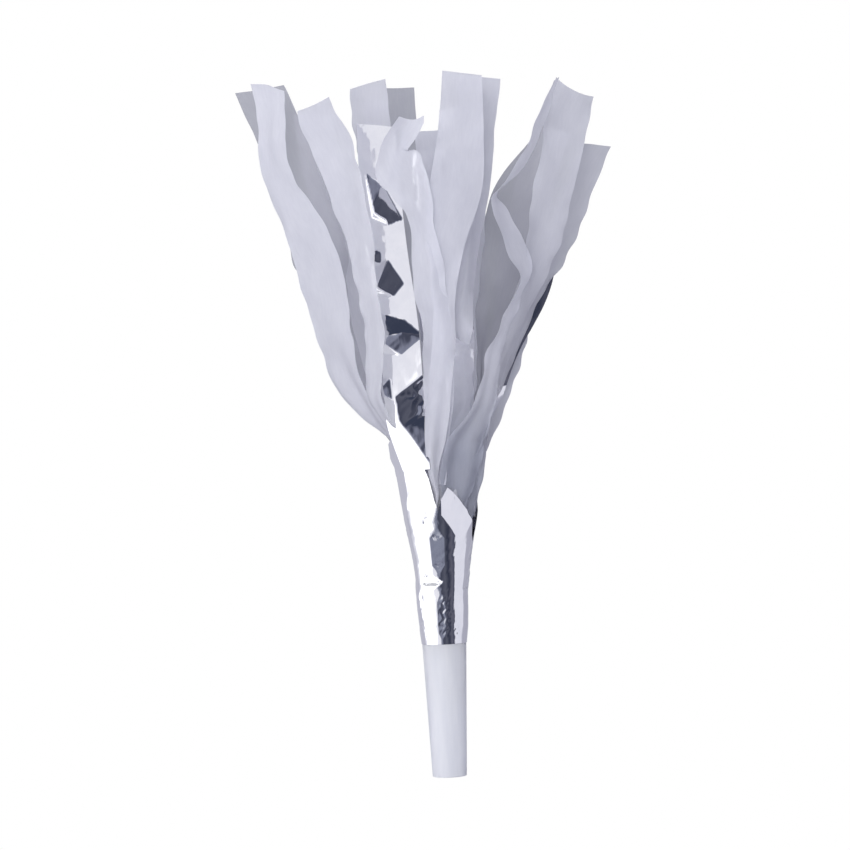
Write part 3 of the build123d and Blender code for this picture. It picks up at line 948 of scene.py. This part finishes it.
# The studio around the horn: azimuth from the front in degrees, and the brightness seen there
STUDIO = [
    (-180, (0.50, 0.50, 0.57)), (-150, (0.54, 0.54, 0.62)), (-112, (0.50, 0.50, 0.58)),
    (-100, (0.84, 0.84, 0.9)), (-94, (1.5, 1.5, 1.52)), (-38, (1.5, 1.5, 1.52)),
    (-32, (0.84, 0.84, 0.9)), (-16, (0.82, 0.82, 0.88)), (-14, (0.26, 0.28, 0.36)),
    (-6, (0.20, 0.21, 0.28)), (-3, (0.05, 0.055, 0.085)), (14, (0.10, 0.105, 0.14)),
    (28, (0.03, 0.035, 0.06)), (42, (0.12, 0.12, 0.16)), (54, (0.05, 0.055, 0.09)),
    (58, (0.78, 0.78, 0.86)), (96, (0.74, 0.74, 0.82)), (104, (0.42, 0.42, 0.5)),
    (146, (0.40, 0.40, 0.48)), (165, (0.50, 0.50, 0.57)), (180, (0.50, 0.50, 0.57)),
]
# The ring's brightness is stored as a share of this
STUDIO_TOP = 2.0
# A dark hood over the front: the elevations between which it starts, and the azimuths beside the
# front between which it ends
HOOD_LOW, HOOD_HIGH = 22, 27
HOOD_OUTSIDE, HOOD_INSIDE = 68, 60


def build_world():
    """A white sweep to the left, a dark camera side, a grey right; the view itself is white, but grey
    through the see-through paper: painted shade on the paper.
    """
    world = bpy.data.worlds.new("studio")
    bpy.context.scene.world = world
    world.use_nodes = True
    nodes, links = world.node_tree.nodes, world.node_tree.links
    nodes.clear()
    place = nodes.new("ShaderNodeTexCoord").outputs["Generated"]
    split = nodes.new("ShaderNodeSeparateXYZ")
    links.new(place, split.inputs["Vector"])

    def calculate(operation, a, b=0.0, c=None):
        node = nodes.new("ShaderNodeMath")
        node.operation = operation
        for socket, value in zip(node.inputs, (a, b, c)):
            if isinstance(value, (int, float)):
                socket.default_value = value
            elif value is not None:
                links.new(value, socket)
        return node.outputs["Value"]

    front = calculate("MULTIPLY", split.outputs["Y"], -1.0)
    around = calculate("ARCTAN2", split.outputs["X"], front)
    share = calculate("MULTIPLY_ADD", around, 0.5 / math.pi, 0.5)
    low = STUDIO[0][0]
    stops = [((a - low) / 360, tuple(c / STUDIO_TOP for c in colour)) for a, colour in STUDIO]
    ring = ramp(nodes, links, share, stops)
    above = map_range(
        nodes, links, split.outputs["Z"],
        math.sin(math.radians(HOOD_LOW)), math.sin(math.radians(HOOD_HIGH))
    )
    beside = calculate("ABSOLUTE", around)
    near = map_range(nodes, links, beside, math.radians(HOOD_OUTSIDE), math.radians(HOOD_INSIDE))
    hood = calculate("MULTIPLY", above, near)
    shade = nodes.new("ShaderNodeMix")
    shade.data_type = "RGBA"
    links.new(hood, shade.inputs["Factor"])
    links.new(ring, shade.inputs["A"])
    shade.inputs["B"].default_value = (0.02, 0.024, 0.04, 1)
    lit = nodes.new("ShaderNodeBackground")
    lit.inputs["Strength"].default_value = STUDIO_TOP
    links.new(shade.outputs["Result"], lit.inputs["Color"])
    seen = nodes.new("ShaderNodeBackground")
    seen.inputs["Color"].default_value = (1, 1, 1, 1)
    # Painted shade: the backdrop seen through the paper is grey, which darkens the paper
    painted_shade_through_tissue = nodes.new("ShaderNodeBackground")
    painted_shade_through_tissue.inputs["Color"].default_value = (0.30, 0.31, 0.36, 1)
    path = nodes.new("ShaderNodeLightPath")
    veiled = calculate("GREATER_THAN", path.outputs["Transparent Depth"], 0.5)
    direct = mixed(nodes, links, veiled, seen.outputs["Background"], painted_shade_through_tissue.outputs["Background"])
    final = mixed(nodes, links, path.outputs["Is Camera Ray"], lit.outputs["Background"], direct)
    output = nodes.new("ShaderNodeOutputWorld")
    links.new(final, output.inputs["Surface"])


LIGHT_AIM = (0, 0, 0.14)
# Soft lights: name, place, size, power, and whether the foil mirrors it
LIGHTS = [
    ("key", (-0.75, -0.45, 0.5), 0.6, 0.5, True),
    ("front_fill", (-0.12, -1.0, 0.42), 0.5, 7.5, False),
]


def build_lights():
    """Soft lights at the upper left and the front left."""
    for name, place, size, power, mirrored in LIGHTS:
        data = bpy.data.lights.new(name, "AREA")
        data.shape = "DISK"
        data.size = size
        data.energy = power
        light = bpy.data.objects.new(name, data)
        bpy.context.scene.collection.objects.link(light)
        turn = (Vector(LIGHT_AIM) - Vector(place)).to_track_quat("-Z", "Y").to_matrix().to_4x4()
        light.matrix_world = Matrix.Translation(Vector(place)) @ turn
        light.visible_camera = False
        light.visible_glossy = mirrored


bpy.context.scene.view_settings.view_transform = "Standard"
build_camera()
build_world()
build_lights()
build_floor()
build_tissue_sleeve()
build_neck_foil()
build_strips()
build_mouthpiece()
dress_cad_nodes()
